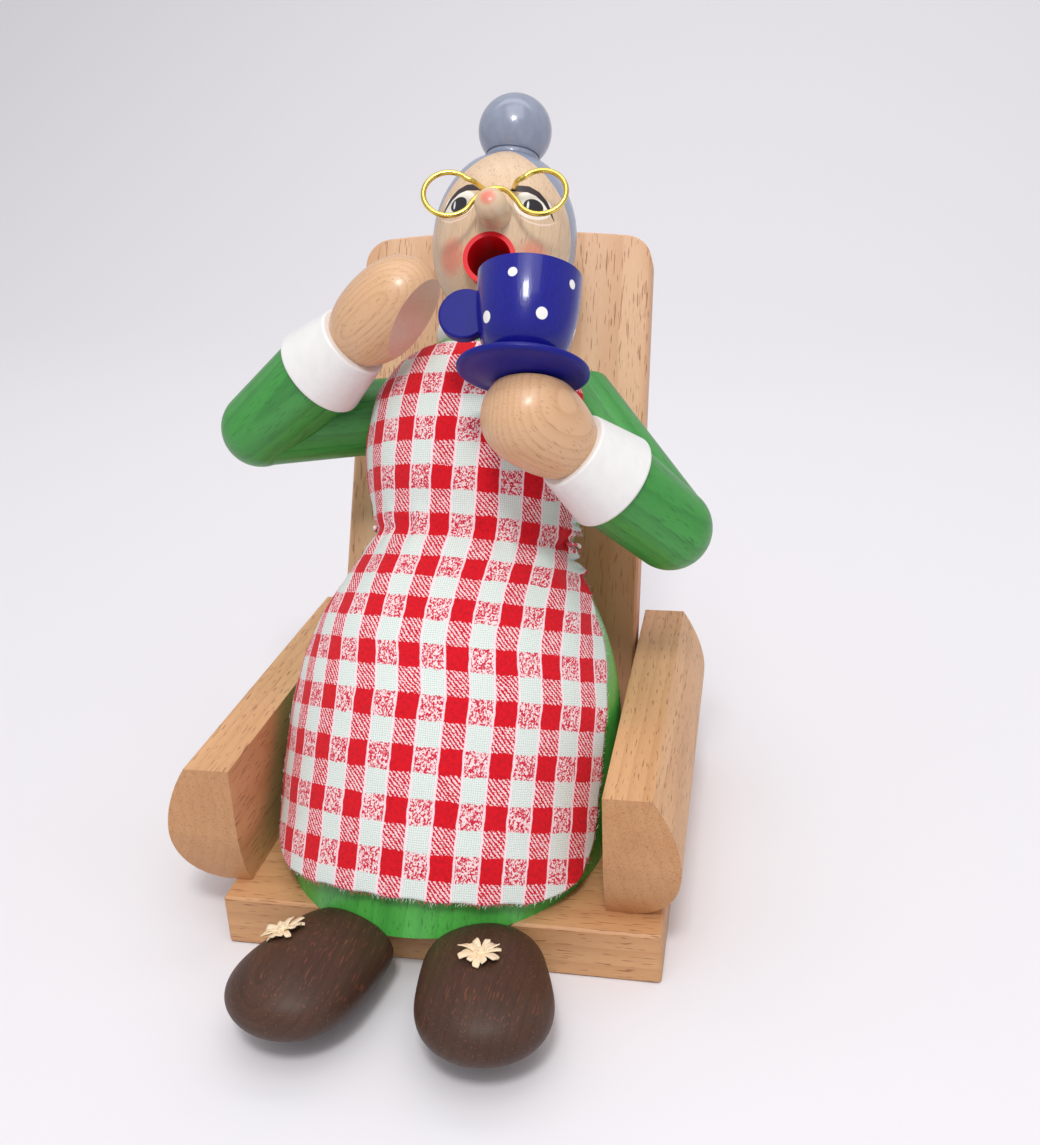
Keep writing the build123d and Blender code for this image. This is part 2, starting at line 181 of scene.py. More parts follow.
def wood(name, M, base, dark, fleckc, seed=0.0, axis="Z", pith=(46.0, 18.0), period=2.3, rough=0.45, ring=0.5,
         fl=0.75, coat=0.0, bump=0.25, spec=0.5, end=0.0, painted_shade=None):
    g = G(name)
    w = grain(g, M, seed, pith, period, axis)
    along = M.to_3x3() @ Vector({"X": (1, 0, 0), "Y": (0, 1, 0), "Z": (0, 0, 1)}[axis])
    nrm_o = g.n("ShaderNodeTexCoord", out="Normal")
    ed = g.ramp(g.m("ABSOLUTE", g.v("DOT_PRODUCT", nrm_o, tuple(along), out=1)), 0.55, 0.95)
    c = g.mix(g.m("MULTIPLY", w["ring"], ring), base, dark)
    c = g.mix(g.m("MULTIPLY", g.ramp(w["vary"], 0.35, 0.7), 0.45), c, dark)
    c = g.mix(g.m("MULTIPLY", g.ramp(w["fine"], 0.45, 0.75), 0.28), c, dark)
    c = g.mix(g.m("MULTIPLY", w["fleck"], fl), c, fleckc)
    # painted shade: a darker, redder patch over one side and the lower part of the piece, standing in for the shadow
    # cast on it
    if painted_shade:
        hx, _, hz = g.xyz(w["p"])
        side = g.m("MULTIPLY", g.ramp(hx, painted_shade[0], painted_shade[1]), g.ramp(hz, painted_shade[2], painted_shade[3]))
        c = g.mix(g.m("MULTIPLY", side, 0.6), c, painted_shade[4])
    if end:
        sp = g.ramp(g.noise(g.v("MULTIPLY", w["p"], (2.4, 2.4, 0.6)), 1.0, 2.0), 0.5, 0.68)
        ce = g.mix(g.m("MULTIPLY", sp, 0.45), dark, fleckc)
        c = g.mix(g.m("MULTIPLY", ed, end), c, ce)
    h = g.m("SUBTRACT", g.m("MULTIPLY", w["fine"], 0.5), w["fleck"])
    nrm = g.bump(h, bump, 0.00012)
    ro = g.m("ADD", rough - 0.06, g.m("MULTIPLY", w["fine"], 0.14))
    return g.finish(c, ro, nrm, Coat_Weight=coat, Coat_Roughness=0.2, Specular_IOR_Level=spec)


BE, BD, BF = srgb(220, 171, 123), srgb(190, 136, 90), srgb(138, 86, 52)
M_ID = Matrix.Identity(4)
MATS = {
    "seat": wood("beech_seat", M_ID, srgb(212, 162, 114), srgb(182, 128, 82), BF, 1.3, "X", (30, 60), 3.2, 0.5, 0.55, end=0.5),
    "arm_l": wood("beech_arm_left", M_ID, BE, BD, BF, 2.1, "Y", (75, 30), 2.5, 0.5, 0.55, end=0.6),
    "arm_r": wood("beech_arm_right", M_ID, BE, BD, BF, 5.4, "Y", (-95, 38), 2.6, 0.5, 0.6, end=0.6),
    # the back board carries painted shade on its lower right, where the body shades it
    "back": wood("beech_back", BACK, srgb(222, 179, 141), srgb(199, 145, 103), srgb(146, 88, 54), 3.7, "Z", (8, 60), 4.4, 0.55, 0.62,
                 painted_shade=(0.0, 22.0, 92.0, 62.0, srgb(190, 112, 66))),
    "dowel": wood("dowel_wood", M_ID, BE, BD, BF, 6.0, "Z", (9, 14), 1.6, 0.6, 0.5),
    "shoe": wood("brown_shoe", M_ID, srgb(79, 54, 41), srgb(52, 35, 27), srgb(138, 78, 52), 4.2, "Y", (24, 22), 1.9, 0.5, 0.45, 0.4,
                 coat=0.0, bump=0.25, spec=0.3),
}
GB, GD, GF = srgb(62, 150, 62), srgb(30, 108, 40), srgb(26, 74, 34)
for nm, M, sd, pi in (("skirt", FIG, 1.0, (30, 44)), ("torso", FIG, 2.0, (26, 30))):
    # the skirt takes a lighter copy of the same green paint as the torso and arms: painted light on its shaded rim
    MATS[nm] = wood("green_" + nm, M, srgb(86, 186, 76) if nm == "skirt" else srgb(76, 164, 68), srgb(46, 136, 48), GF, sd, "Z", pi, 2.8, 0.34, 0.4, 0.45, coat=0.15, bump=0.18)
for s in ("left", "right"):
    a = ARMS[s]
    MATS["fore_" + s] = wood("green_fore_" + s, frame_along(a["E"], a["H"]), GB, GD, GF, 3.0 + (s == "left"), "Z", (22, 12), 2.6, 0.42, 0.6, 0.5, coat=0.15)
    MATS["upper_" + s] = wood("green_upper_" + s, frame_along(a["S"], a["E"]), GB, GD, GF, 6.0 + (s == "left"), "Z", (18, 16), 2.6, 0.42, 0.6, 0.5, coat=0.15)

SK, SKD, SKF = srgb(219, 192, 160), srgb(203, 161, 124), srgb(146, 98, 70)


def hand_mat(s):
    a = ARMS[s]
    g = G("beech_hand_" + s)
    w = grain(g, frame_along(a["E"], a["H"]), 8.0 + (s == "left"), (9, 4), 1.25)
    c = g.mix(g.m("MULTIPLY", w["ring"], 0.5), srgb(216, 172, 130), srgb(183, 133, 91))
    c = g.mix(g.m("MULTIPLY", g.ramp(w["fine"], 0.45, 0.75), 0.25), c, SKD)
    c = g.mix(g.m("MULTIPLY", w["fleck"], 0.4), c, SKF)
    if s == "left":
        n = Vector((0.836, -0.052, -0.546)).normalized()
        pc = Vector(a["H"]) + n * 6.25
        d = g.n("ShaderNodeVectorMath", {0: g.v("SUBTRACT", g.mm(FIG), tuple(pc)), 1: tuple(n)}, out=1, operation="DOT_PRODUCT")
        cut = g.m("GREATER_THAN", d, -0.04)
        q = g.v("MULTIPLY", g.mm(frame_along(a["E"], a["H"])), (2.2, 2.2, 0.5))
        cc = g.mix(g.noise(q, 1.0, 3.0), srgb(236, 192, 166), srgb(210, 162, 138))
        c = g.mix(cut, c, cc)
    nrm = g.bump(w["fine"], 0.15, 0.0001)
    return g.finish(c, 0.38, nrm, Coat_Weight=0.3, Coat_Roughness=0.2)


def plain(name, col, rough, coat=0.0, bump=0.06, M=FIG, vary=0.06, **k):
    g = G(name)
    p = g.mm(M)
    nz = g.noise(g.v("MULTIPLY", p, (0.6, 0.6, 0.25)), 1.0, 3.0)
    fn = g.noise(g.v("MULTIPLY", p, (3.5, 3.5, 0.5)), 1.0, 2.0)
    dk = tuple(c * (1 - 2.2 * vary) for c in col[:3]) + (1,)
    c = g.mix(g.ramp(nz, 0.3, 0.75), col, dk)
    return g.finish(c, g.m("ADD", rough, g.m("MULTIPLY", fn, 0.1)), g.bump(fn, bump, 0.0001), Coat_Weight=coat, Coat_Roughness=0.12, **k)


MATS["white"] = plain("white_paint", srgb(233, 231, 228), 0.34, 0.3, 0.08, vary=0.02)
MATS["hair"] = plain("grey_blue_paint", srgb(140, 147, 166), 0.2, 0.6, 0.12)
MATS["saucer"] = plain("blue_paint", srgb(20, 22, 126), 0.42, 0.10, 0.1, Specular_IOR_Level=0.22)
MATS["red"] = None
MATS["steel"] = plain("tin_plate", srgb(170, 172, 174), 0.35, 0.0, 0.1, Metallic=1.0)
MATS["brass"] = plain("brass_wire", srgb(238, 208, 104), 0.2, 0.0, 0.02, Metallic=1.0)
MATS["curl"] = wood("wood_curl", M_ID, srgb(250, 232, 200), srgb(238, 208, 160), srgb(220, 180, 130), 9.0, "Y", (5, 5), 0.8, 0.6, 0.3, 0.2, bump=0.3)


def mouth_mat():
    g = G("red_paint")
    x, y, z = g.xyz(g.mm(FACE))
    # painted shade: the red turns slightly darker deeper inside the bore
    deep = g.ramp(y, -15.0, -12.0)
    c = g.mix(deep, srgb(226, 12, 30), srgb(214, 12, 26))
    return g.finish(c, 0.42, None, Coat_Weight=0.1, Coat_Roughness=0.2, Specular_IOR_Level=0.3)


MATS["red"] = mouth_mat()


def seg_sdf(g, x, y, ax, ay, bx, by, ra, rb):
    """Signed distance to a stroke of changing width."""
    dx, dy = bx - ax, by - ay
    L2 = dx * dx + dy * dy
    px, py = g.m("SUBTRACT", x, ax), g.m("SUBTRACT", y, ay)
    t = g.m("MULTIPLY", g.m("ADD", g.m("MULTIPLY", px, dx), g.m("MULTIPLY", py, dy)), 1 / L2, clamp=True)
    ex = g.m("SUBTRACT", px, g.m("MULTIPLY", t, dx))
    ey = g.m("SUBTRACT", py, g.m("MULTIPLY", t, dy))
    d = g.m("SQRT", g.m("ADD", g.m("MULTIPLY", ex, ex), g.m("MULTIPLY", ey, ey)))
    return g.m("SUBTRACT", d, g.m("ADD", ra, g.m("MULTIPLY", t, rb - ra)))


def ell_sdf(g, x, y, cx, cy, rx, ry):
    a = g.m("DIVIDE", g.m("SUBTRACT", x, cx), rx)
    b = g.m("DIVIDE", g.m("SUBTRACT", y, cy), ry)
    return g.m("MULTIPLY", g.m("SUBTRACT", g.m("SQRT", g.m("ADD", g.m("MULTIPLY", a, a), g.m("MULTIPLY", b, b))), 1.0), min(rx, ry))


def edge(g, d, soft=0.05):
    return g.ramp(d, soft, -soft)


def stroke(g, x, y, pts):
    d = None
    for (ax, ay, ra), (bx, by, rb) in zip(pts, pts[1:]):
        e = seg_sdf(g, x, y, ax, ay, bx, by, ra, rb)
        d = e if d is None else g.m("MINIMUM", d, e)
    return d


def head_mat():
    g = G("face_beech")
    w = grain(g, FIG, 12.0, (24, 34), 2.6)
    c = g.mix(g.m("MULTIPLY", w["ring"], 0.35), SK, SKD)
    c = g.mix(g.m("MULTIPLY", g.ramp(w["fine"], 0.42, 0.7), 0.5), c, srgb(204, 160, 124))
    pore = g.ramp(g.noise(g.v("MULTIPLY", w["p"], (2.6, 2.6, 0.11)), 1.0, 0.0), 0.70, 0.75)
    c = g.mix(g.m("MULTIPLY", pore, 0.40), c, srgb(160, 114, 84))
    x, y, s = g.xyz(g.mm(FACE))
    front = g.m("LESS_THAN", y, 0.0)
    ax = g.m("ABSOLUTE", x)
    # rosy cheeks
    ch = g.m("ADD", g.m("POWER", g.m("DIVIDE", g.m("SUBTRACT", ax, 8.9), 3.3), 2), g.m("POWER", g.m("DIVIDE", g.m("SUBTRACT", s, 121.6), 4.1), 2))
    chm = g.m("MULTIPLY", g.ramp(ch, 1.35, 0.0), g.m("MULTIPLY", front, 0.72))
    c = g.mix(chm, c, srgb(226, 120, 96))
    # eyes, relative to the pupil
    ex, ey = g.m("SUBTRACT", ax, 8.0), g.m("SUBTRACT", s, 132.4)
    white = g.m("MAXIMUM", ell_sdf(g, ex, ey, -0.15, 0.2, 3.75, 3.05), g.m("SUBTRACT", g.m("ADD", g.m("MULTIPLY", ex, 0.45), ey), 3.3))
    c = g.mix(g.m("MULTIPLY", edge(g, white, 0.12), g.m("MULTIPLY", front, 0.9)), c, srgb(244, 240, 228))
    lid = stroke(g, ex, ey, [(-2.3, -2.9, 0.10), (-0.6, -3.55, 0.16), (1.5, -3.7, 0.18), (3.3, -3.0, 0.14), (4.5, -2.0, 0.06)])
    c = g.mix(g.m("MULTIPLY", edge(g, lid, 0.1), g.m("MULTIPLY", front, 0.7)), c, srgb(246, 222, 208))
    pup = ell_sdf(g, ex, ey, 0.0, -0.1, 1.95, 1.75)
    c = g.mix(g.m("MULTIPLY", edge(g, pup), front), c, srgb(26, 22, 24))
    # painted highlight: a white vertical streak on the viewer's left of each pupil stands in for the light's reflection
    painted_pupil_highlight = ell_sdf(g, g.m("SUBTRACT", x, g.m("MULTIPLY", g.m("SIGN", x), 8.0)), ey, -1.05, 0.0, 0.22, 0.95)
    c = g.mix(g.m("MULTIPLY", edge(g, painted_pupil_highlight), front), c, srgb(235, 238, 240))
    brow = stroke(g, ex, ey, [(-4.6, 2.9, 0.34), (-3.3, 3.45, 0.78), (-1.4, 3.7, 0.76), (0.5, 3.1, 0.62), (2.1, 1.75, 0.46), (3.2, 0.1, 0.30), (4.1, -1.7, 0.08)])
    c = g.mix(g.m("MULTIPLY", edge(g, brow), front), c, srgb(44, 26, 30))
    # painted hair: back, sides and top, with a peak over the forehead
    phi = g.m("MULTIPLY", g.m("ARCTAN2", ax, g.m("MULTIPLY", y, -1.0)), 180 / math.pi)
    t = g.m("DIVIDE", g.m("SUBTRACT", s, 124.0), 23.2, clamp=True)
    lim = g.m("MULTIPLY", g.m("POWER", g.m("SUBTRACT", 1.0, g.m("POWER", t, 2.0)), 0.66), g.m("SUBTRACT", 76.0, g.m("MULTIPLY", g.m("MULTIPLY", g.ramp(x, 2.0, -4.0), g.ramp(s, 123.0, 133.0)), 12.0)))
    hm = g.ramp(g.m("SUBTRACT", phi, lim), -0.8, 0.8)
    c = g.mix(hm, c, srgb(144, 152, 170))
    rb = g.m("SQRT", g.m("ADD", g.m("POWER", x, 2), g.m("POWER", g.m("SUBTRACT", s, 120.4), 2)))
    bore = g.m("MULTIPLY", g.m("LESS_THAN", rb, 5.35), g.m("GREATER_THAN", y, -14.4))
    bore = g.m("MULTIPLY", bore, g.m("LESS_THAN", y, 3.0))
    c = g.mix(bore, c, srgb(206, 10, 24))
    ro = g.m("SUBTRACT", 0.42, g.m("MULTIPLY", hm, 0.18))
    nrm = g.bump(g.m("SUBTRACT", g.m("MULTIPLY", w["fine"], 0.5), pore), 0.18, 0.0001)
    return g.finish(c, ro, nrm, Coat_Weight=0.25, Coat_Roughness=0.2)


def nose_mat():
    g = G("nose_beech")
    w = grain(g, FACE, 15.0, (14, 9), 1.4)
    c = g.mix(g.m("MULTIPLY", w["ring"], 0.4), SK, SKD)
    x, y, s = g.xyz(g.mm(FACE))
    r2 = g.m("ADD", g.m("POWER", g.m("SUBTRACT", x, 0.3), 2), g.m("POWER", g.m("SUBTRACT", s, 130.1), 2))
    c = g.mix(g.m("MULTIPLY", g.ramp(r2, 4.6, 0.0), 0.85), c, srgb(226, 112, 92))
    return g.finish(c, 0.35, g.bump(w["fine"], 0.1, 0.0001), Coat_Weight=0.3, Coat_Roughness=0.2)


def cup_mat():
    g = G("cup_blue_dots")
    p = g.mm(CUP)
    x, y, z = g.xyz(p)
    fn = g.noise(g.v("MULTIPLY", p, (4.0, 4.0, 0.5)), 1.0, 2.0)
    c = g.mix(g.ramp(fn, 0.3, 0.8), srgb(22, 24, 136), srgb(16, 18, 118))
    phi = g.m("ARCTAN2", x, g.m("MULTIPLY", y, -1.0))
    rr = g.m("SQRT", g.m("ADD", g.m("MULTIPLY", x, x), g.m("MULTIPLY", y, y)))
    out = g.m("GREATER_THAN", rr, g.m("ADD", g.m("MULTIPLY", g.m("SUBTRACT", z, 3.0), 0.11), 6.6 + 0.75))
    d = None
    for row, zz, off, rad in ((0, 15.2, -8.0, 0.88), (1, 8.0, 28.0, 1.1)):
        for i in range(5):
            a = off + 72 * i
            a = (a + 180) % 360 - 180
            da = g.m("SUBTRACT", phi, math.radians(a))
            da = g.m("WRAP", da, -math.pi, math.pi)
            u = g.m("MULTIPLY", da, rr)
            e = ell_sdf(g, u, z, 0.0, zz, rad, rad)
            d = e if d is None else g.m("MINIMUM", d, e)
    c = g.mix(g.m("MULTIPLY", edge(g, d, 0.06), g.m("GREATER_THAN", rr, 7.6)), c, srgb(240, 238, 232))
    return g.finish(c, 0.22, g.bump(fn, 0.2, 0.0001), Coat_Weight=0.35, Coat_Roughness=0.08, Specular_IOR_Level=0.3)


MATS["head"], MATS["nose"], MATS["cup"] = head_mat(), nose_mat(), cup_mat()
MATS["hand_left"], MATS["hand_right"] = hand_mat("left"), hand_mat("right")


def gingham():
    g = G("gingham_cloth")
    uv = g.n("ShaderNodeUVMap", uv_map="flat")
    p = g.v("MULTIPLY", uv, (200.0, 200.0, 0.0))          # millimetres on the flat cloth
    wob = g.noise(p, 0.30, 2.0, out=1)
    p = g.v("ADD", p, g.v("MULTIPLY", g.v("SUBTRACT", wob, (0.5, 0.5, 0.5)), (0.7, 0.7, 0.0)))
    nf = g.noise(p, 3.4, 2.0, out=1)
    pe = g.v("ADD", p, g.v("MULTIPLY", g.v("SUBTRACT", nf, (0.5, 0.5, 0.5)), (0.12, 0.85, 0.0)))
    u, v, _ = g.xyz(pe)
    x, y, _ = g.xyz(p)
    A = g.m("LESS_THAN", g.m("FRACT", g.m("DIVIDE", u, 10.0)), 0.50)          # red warp
    B = g.m("LESS_THAN", g.m("FRACT", g.m("DIVIDE", v, 10.0)), 0.50)          # red weft
    AB = g.m("MULTIPLY", A, B)
    Ao = g.m("MULTIPLY", A, g.m("SUBTRACT", 1.0, B))
    Bo = g.m("MULTIPLY", B, g.m("SUBTRACT", 1.0, A))
    red, pale, deep = srgb(216, 5, 28), srgb(228, 234, 228), srgb(184, 4, 26)
    pinkw = srgb(234, 196, 200)
    # twill-like broken diagonals where red warp crosses white weft
    hb = g.noise(p, 2.4, 1.0)
    ph = g.m("ADD", g.m("ADD", g.m("DIVIDE", x, 0.96), g.m("DIVIDE", y, 1.02)), g.m("MULTIPLY", g.m("SUBTRACT", hb, 0.5), 0.55))
    dg = g.m("ABSOLUTE", g.m("SUBTRACT", g.m("FRACT", ph), 0.5))
    pick = g.m("ABSOLUTE", g.m("SUBTRACT", g.m("FRACT", g.m("DIVIDE", y, 0.46)), 0.5))
    # mottled threads where white warp crosses red weft
    ck = g.n("ShaderNodeTexVoronoi", {"Vector": g.v("MULTIPLY", p, (3.9, 3.1, 1.0)), "Scale": 1.0, "Randomness": 0.75}, out="Color", feature="F1")
    spv = g.xyz(ck)[0]
    dots = g.ramp(spv, 0.38, 0.54)
    hatch = g.ramp(g.m("ADD", g.m("ADD", dg, g.m("MULTIPLY", g.m("SUBTRACT", pick, 0.25), 0.36)), g.m("MULTIPLY", g.m("SUBTRACT", spv, 0.5), 0.30)), 0.17, 0.27)
    tx = g.m("ABSOLUTE", g.m("SUBTRACT", g.m("FRACT", g.m("DIVIDE", x, 0.44)), 0.5))
    ty = g.m("ABSOLUTE", g.m("SUBTRACT", g.m("FRACT", g.m("DIVIDE", y, 0.44)), 0.5))
    weave = g.m("MAXIMUM", tx, ty)
    c = g.mix(g.m("MULTIPLY", g.ramp(weave, 0.32, 0.5), 0.62), pale, srgb(148, 174, 160))
    ch = g.mix(hatch, srgb(240, 208, 210), srgb(202, 18, 44))
    cd = g.mix(dots, srgb(242, 216, 216), srgb(206, 36, 64))
    cd = g.mix(g.m("MULTIPLY", g.ramp(g.noise(p, 1.1, 2.0), 0.5, 0.75), 0.30), cd, srgb(226, 222, 216))
    c = g.mix(Ao, c, ch)
    c = g.mix(Bo, c, cd)
    c = g.mix(AB, c, g.mix(g.ramp(g.noise(p, 1.2, 3.0), 0.35, 0.8), red, deep))
    lu = g.m("ABSOLUTE", g.m("SUBTRACT", g.m("FRACT", g.m("ADD", g.m("DIVIDE", x, 5.0), 0.5)), 0.5))
    c = g.mix(g.m("MULTIPLY", g.ramp(lu, 0.058, 0.030), 0.9), c, srgb(250, 220, 226))
    hgt = g.m("ADD", g.m("MULTIPLY", weave, -0.6), g.m("MULTIPLY", g.noise(p, 3.2, 2.0), 0.8))
    g.b.inputs["Sheen Weight"].default_value = 0.06
    g.b.inputs["Sheen Roughness"].default_value = 0.6
    return g.finish(c, 0.88, g.bump(hgt, 0.5, 0.00018), Specular_IOR_Level=0.25)


MATS["gingham"] = gingham()

# ------------------------------------------------------------------ CAD nodes keep their shape, with new finishes
PLAN = {"seat_board": "seat", "armrest_left": "arm_l", "armrest_right": "arm_r", "backrest_board": "back", "skirt": "skirt", "torso": "torso",
        "cone_plate": "steel", "cone_plate_nail": "steel", "shoe_left": "shoe", "shoe_right": "shoe", "collar": "white",
        "head": "head", "mouth_ring": "red", "nose": "nose", "bun_ring": "hair", "hair_bun": "hair", "saucer": "saucer",
        "cup": "cup", "cup_handle": "saucer", "glasses": "brass", "apron": "gingham", "apron_tie": "white",
        "shoe_flower_left": "curl", "shoe_flower_right": "curl"}
for s in ("left", "right"):
    PLAN["upper_arm_" + s], PLAN["forearm_" + s] = "upper_" + s, "fore_" + s
    PLAN["cuff_" + s], PLAN["hand_" + s] = "white", "hand_" + s
for name, ob in NODES.items():
    me = ob.data
    me.materials.clear()
    me.materials.append(MATS[PLAN.get(name, "dowel")])
    me.shade_smooth()
    me.set_sharp_from_angle(angle=math.radians(32))


# ------------------------------------------------------------------ new pieces
def add(name, verts, faces, mat, body, M, smooth=True, uvs=None):
    me = bpy.data.meshes.new(name)
    me.from_pydata([tuple(c * MM for c in v) for v in verts], [], faces)
    me.update()
    ob = bpy.data.objects.new(name, me)
    bpy.context.scene.collection.objects.link(ob)
    if mat:
        me.materials.append(mat)
    if smooth:
        me.shade_smooth()
    if uvs is not None:
        lay = me.uv_layers.new(name="flat")
        co = np.array([uvs[l.vertex_index] for l in me.loops], dtype=np.float32).ravel()
        lay.data.foreach_set("uv", co)
    ob.matrix_world = M
    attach(ob, body)
    return ob


def catmull(pts, n):
    P = np.array([pts[0]] + list(pts) + [pts[-1]], float)
    out = []
    for i in range(1, len(P) - 2):
        for k in range(n):
            t = k / n
            a, b, c, d = P[i - 1], P[i], P[i + 1], P[i + 2]
            out.append(0.5 * ((2 * b) + (-a + c) * t + (2 * a - 5 * b + 4 * c - d) * t * t + (-a + 3 * b - 3 * c + d) * t ** 3))
    out.append(P[-2])
    return np.array(out)


# apron: one cloth from the neck to the hem, drawn in at the waist
AP = [(35.3, -9.6), (35.4, -3), (35.4, 10), (35.2, 20), (34.4, 30), (31.5, 42), (27.0, 51.5), (23.4, 57.5), (21.3, 62.2),
      (22.0, 66.5), (24.3, 74), (25.1, 83), (23.8, 91.5), (20.5, 98), (16.3, 102.4)]
curve = catmull(AP, 12)
CS, CR = curve[:, 1], curve[:, 0]
arc = np.concatenate([[0], np.cumsum(np.hypot(np.diff(CS), np.diff(CR)))])
ARC_W = float(np.interp(62.2, CS, arc))


SIDE_S = [-9, -6.6, -4.5, -1, 3.6, 13, 24, 36, 45, 55, 62, 70, 80, 91, 102]
SIDE_A = [50, 55, 58, 61.5, 64.5, 67.5, 70, 74.5, 77.5, 77.5, 77, 76, 75, 70, 65]


def apron_mesh(nu=180, nv=260):
    verts, uvs = [], []
    for j in range(nv + 1):
        t = j / nv
        for i in range(nu + 1):
            a = -1 + 2 * i / nu
            s_h = -8.05 + 0.5 * abs(a) ** 2 + 4.6 * abs(a) ** 12
            s_t = 102.2 - 7.5 * abs(a) ** 4
            s = s_h + (s_t - s_h) * t
            s += 0.18 * math.sin(a * 23 + 3 * t) * (t < 0.02 or t > 0.98)
            R = float(np.interp(s, CS, CR))
            fm = math.radians(float(np.interp(s, SIDE_S, SIDE_A)))
            if a > 0:
                fm -= math.radians(float(np.interp(s, [4, 15, 30, 48, 57], [0.0, 2.2, 3.8, 3.4, 0.0])))
            f = a * fm + 0.004 * math.sin(s * 0.9) * abs(a) ** 6
            u = f * R
            # gathers round the waist and soft folds below them
            k = math.exp(-((s - 62.0) / 4.6) ** 2)
            kb = math.exp(-((s - 52.0) / 9.0) ** 2)
            g1 = math.sin(f * 21 + 0.9 * math.sin(f * 7 + 1) + 0.05 * s) * 0.5 + math.sin(f * 34 + 2.0) * 0.3
            w = 0.44 * k * g1 + 0.32 * kb * math.sin(f * 13 + 0.5 + 0.03 * s) * (0.4 + 0.6 * abs(a))
            w += -0.45 * math.exp(-((s - 62.2 - 0.5 * math.sin(f * 5)) / 0.9) ** 2) + 0.22 * math.exp(-((s - 65.4) / 1.6) ** 2) + 0.25 * math.exp(-((s - 58.8) / 1.8) ** 2)
            w += 0.16 * math.sin(f * 6.5 + s * 0.07) * max(0, (20 - s) / 30) + 0.07 * math.sin(s * 0.55 + f * 4)
            w += 0.25 * abs(a) ** 8
            # the bunched edge beside the waist on the viewer's right
            if a > 0.84:
                e_ = ((a - 0.84) / 0.16) ** 2 * math.exp(-((s - 61.5) / 7.0) ** 2)
                w += e_ * (0.9 + 0.9 * math.sin(s * 1.55 + 0.6) + 0.4 * math.sin(s * 4.1))
                f += 0.05 * e_ * math.sin(s * 2.3 + 1.0)
            r = R + 0.42 + max(-0.25, w)
            verts.append((r * math.sin(f), -r * math.cos(f), s))
            arcl = float(np.interp(s, CS, arc)) - ARC_W
            skew = 0.16 * min(22.0, max(0.0, 62 - s)) + (0.03 * (62 - s) if s > 62 else 0)
            skew += float(np.interp(s, [30, 40, 50, 62], [0.0, 1.7, 3.3, 4.4]))
            uvs.append(((u * 1.075 + skew * 1.05 + 1.2 + 100) / 200.0, (arcl * 1.03 + 1.4 + 200) / 200.0))
    W = nu + 1
    faces = [(j * W + i, j * W + i + 1, (j + 1) * W + i + 1, (j + 1) * W + i) for j in range(nv) for i in range(nu)]
    area = 0.0
    V = np.array(verts)
    for f in faces:
        a, b, c, d = V[list(f)]
        area += 0.5 * np.linalg.norm(np.cross(c - a, d - b))
    return verts, faces, uvs, area


av, af, au, area = apron_mesh()
apron = add("apron_cloth", av, af, MATS["gingham"], UPPER, FIG, True, au)
sol = apron.modifiers.new("thickness", "SOLIDIFY")
sol.thickness = 0.0003
sol.offset = 0
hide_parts("apron")


def threads():
    """Frayed thread ends along the cut edges of the cloth."""
    W, nv = 181, 260
    V = np.array(av)
    edges = [(j * W, j * W + 1) for j in range(2, nv)] + [(j * W + W - 1, j * W + W - 2) for j in range(2, nv)] + \
            [(i, W + i) for i in range(2, W - 2)] + [(nv * W + i, (nv - 1) * W + i) for i in range(2, W - 2)]
    verts, faces = [], []
    for k, (a, b) in enumerate(edges):
        for _ in range(2):
            if rng.random() > 0.72:
                continue
            o = V[a] + (V[a] - V[b]) * -0.3 + rng.normal(0, 0.12, 3)
            d = V[a] - V[b]
            d = d / (np.linalg.norm(d) + 1e-9)
            L = rng.uniform(0.3, 0.95)
            if abs(V[a][2] - 62) < 7 and k < 2 * nv:
                L *= 1.5
            nrm = np.array([V[a][0], V[a][1], 0.0])
            nrm /= np.linalg.norm(nrm)
            side = np.cross(d, nrm)
            pts = []
            bend = rng.normal(0, 0.35, 2)
            for q in range(4):
                tt = q / 3
                pts.append(o + d * L * tt + side * bend[0] * L * tt * tt + nrm * abs(bend[1]) * 0.6 * L * tt * tt)
            base = len(verts)
            wd = 0.055
            for q, p in enumerate(pts):
                w_ = wd * (1 - 0.5 * q / 3)
                verts += [tuple(p + side * w_), tuple(p - side * w_ * 0.5 + nrm * w_ * 0.87), tuple(p - side * w_ * 0.5 - nrm * w_ * 0.87)]
            for q in range(3):
                for e in range(3):
                    a0, a1 = base + q * 3 + e, base + q * 3 + (e + 1) % 3
                    faces.append((a0, a1, a1 + 3, a0 + 3))
    return verts, faces


g = G("frayed_thread")
p_ = g.mm(FIG)
MATS["thread"] = g.finish(g.mix(g.ramp(g.noise(p_, 0.35, 1.0), 0.45, 0.55), srgb(246, 232, 230), srgb(232, 90, 110)), 0.9)
tv, tf = threads()
fray = add("apron_fray", tv, tf, MATS["thread"], UPPER, FIG)


def tube(name, pts, r, mat, body, M, segs=14, closed=False):
    P = [Vector(p) for p in pts]
    n = len(P)
    verts, faces = [], []
    prev = None
    for i, p in enumerate(P):
        t = (P[(i + 1) % n if closed else min(i + 1, n - 1)] - P[(i - 1) % n if closed else max(i - 1, 0)]).normalized()
        if prev is None:
            up = Vector((0, 1, 0)) if abs(t.y) < 0.9 else Vector((1, 0, 0))
            nx = t.cross(up).normalized()
        else:
            nx = (prev - t * prev.dot(t)).normalized()
        ny = t.cross(nx)
        prev = nx
        for k in range(segs):
            a = 2 * math.pi * k / segs
            verts.append(tuple(p + (nx * math.cos(a) + ny * math.sin(a)) * r))
    for i in range(n - 1):
        for k in range(segs):
            a, b = i * segs + k, i * segs + (k + 1) % segs
            faces.append((a, b, b + segs, a + segs))
    faces.append(tuple(range(segs))[::-1])
    faces.append(tuple((n - 1) * segs + k for k in range(segs)))
    return add(name, verts, faces, mat, body, M)


